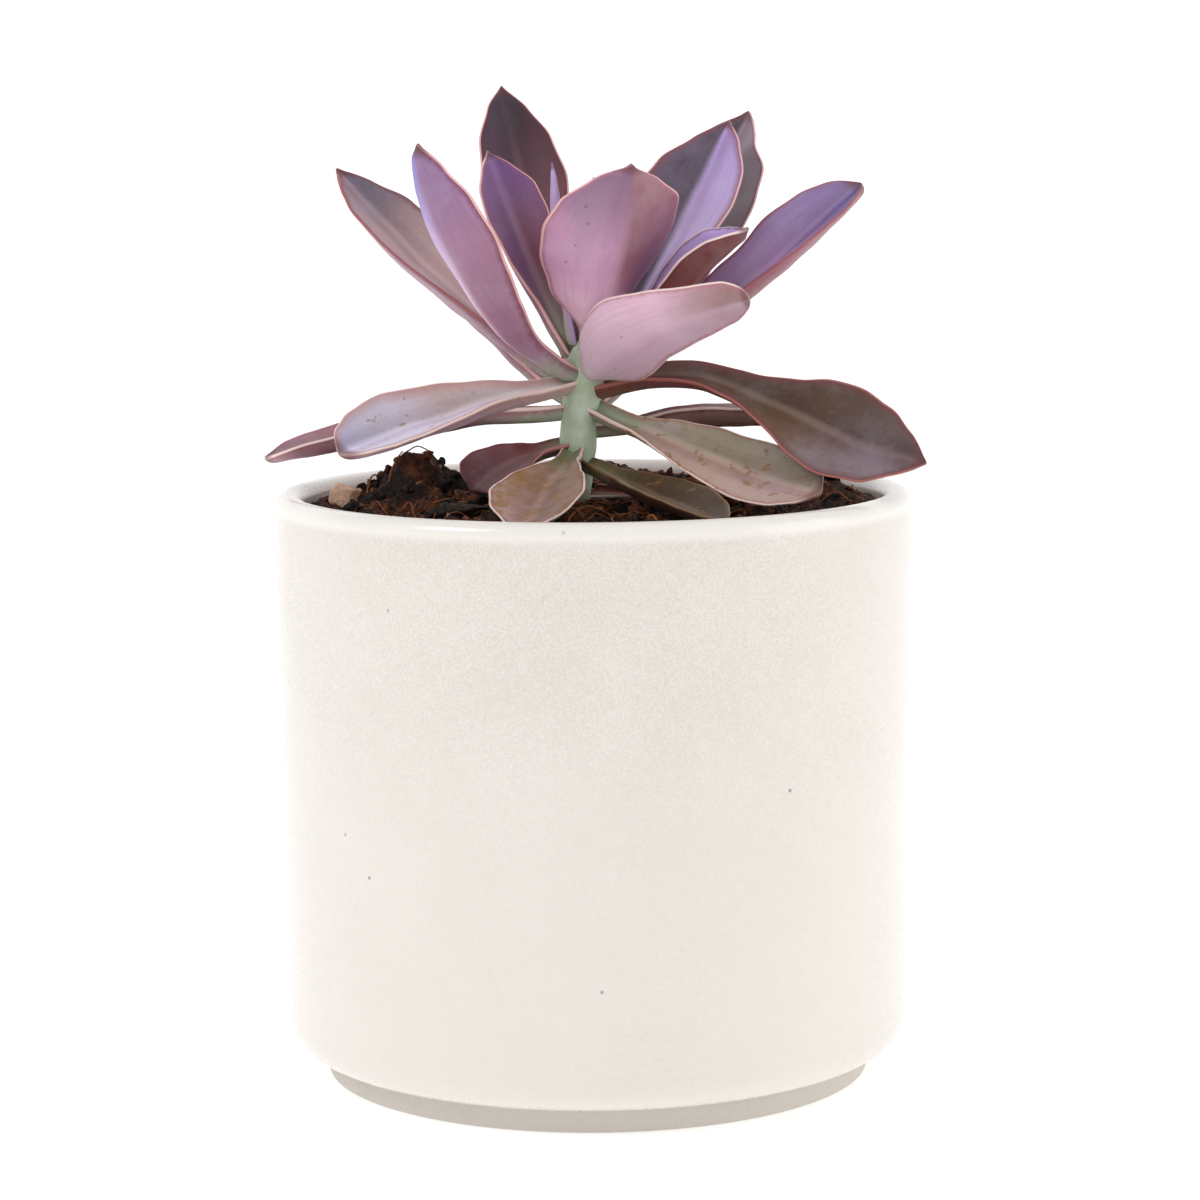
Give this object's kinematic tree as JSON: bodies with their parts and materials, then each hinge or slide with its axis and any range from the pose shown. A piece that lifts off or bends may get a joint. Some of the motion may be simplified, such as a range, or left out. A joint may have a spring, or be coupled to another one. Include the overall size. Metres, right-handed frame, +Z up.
{
  "type": "potted succulent",
  "caption": "Rosette succulent with thick pointed mauve leaves on a short stem, growing in soil in a white glazed cylinder pot.",
  "frame": {"origin": "on the pot's axis, on the surface that the pot stands on, at the bottom centre of the bounding box", "axes": "+Z up along the pot's axis; -Y towards the side that the broad front leaf faces, with the arched low leaf to +X"},
  "size_m": [0.1325, 0.13, 0.2016],
  "materials": {
    "pot_glaze": "glossy warm off-white glaze",
    "soil_peat": "damp, dark, lumpy potting mix",
    "stem_green": "pale green, smooth",
    "leaf_mauve": "satin with a waxy bloom",
    "leaf_lilac": "satin with a waxy bloom",
    "leaf_grey_green": "satin with a waxy bloom",
    "dry_leaf_red": "dry and matte",
    "bark": "rough and matte"
  },
  "bodies": {
    "root": {"bark_chip_dark": "bark", "bark_chip_pale": "bark", "bark_chip_right": "bark", "dry_leaf": "dry_leaf_red", "leaf_back_left_low": "leaf_grey_green", "leaf_back_low": "leaf_grey_green", "leaf_back_right_inner": "leaf_mauve", "leaf_back_right_low": "leaf_grey_green", "leaf_back_right_outer": "leaf_mauve", "leaf_back_tall": "leaf_mauve", "leaf_foot_front": "leaf_grey_green", "leaf_foot_left": "leaf_grey_green", "leaf_foot_right": "leaf_grey_green", "leaf_front_broad": "leaf_lilac", "leaf_front_right": "leaf_lilac", "leaf_heart_bud": "leaf_mauve", "leaf_heart_spike": "leaf_mauve", "leaf_left_back": "leaf_mauve", "leaf_left_front": "leaf_lilac", "leaf_left_inner": "leaf_mauve", "leaf_low_left_broad": "leaf_grey_green", "leaf_low_left_far": "leaf_grey_green", "leaf_low_right_arched": "leaf_grey_green", "leaf_low_right_back": "leaf_grey_green", "leaf_low_right_front": "leaf_grey_green", "leaf_right_folded": "leaf_mauve", "leaf_right_long": "leaf_mauve", "pot": "pot_glaze", "soil": "soil_peat", "stem": "stem_green"}
  },
  "joints": []
}
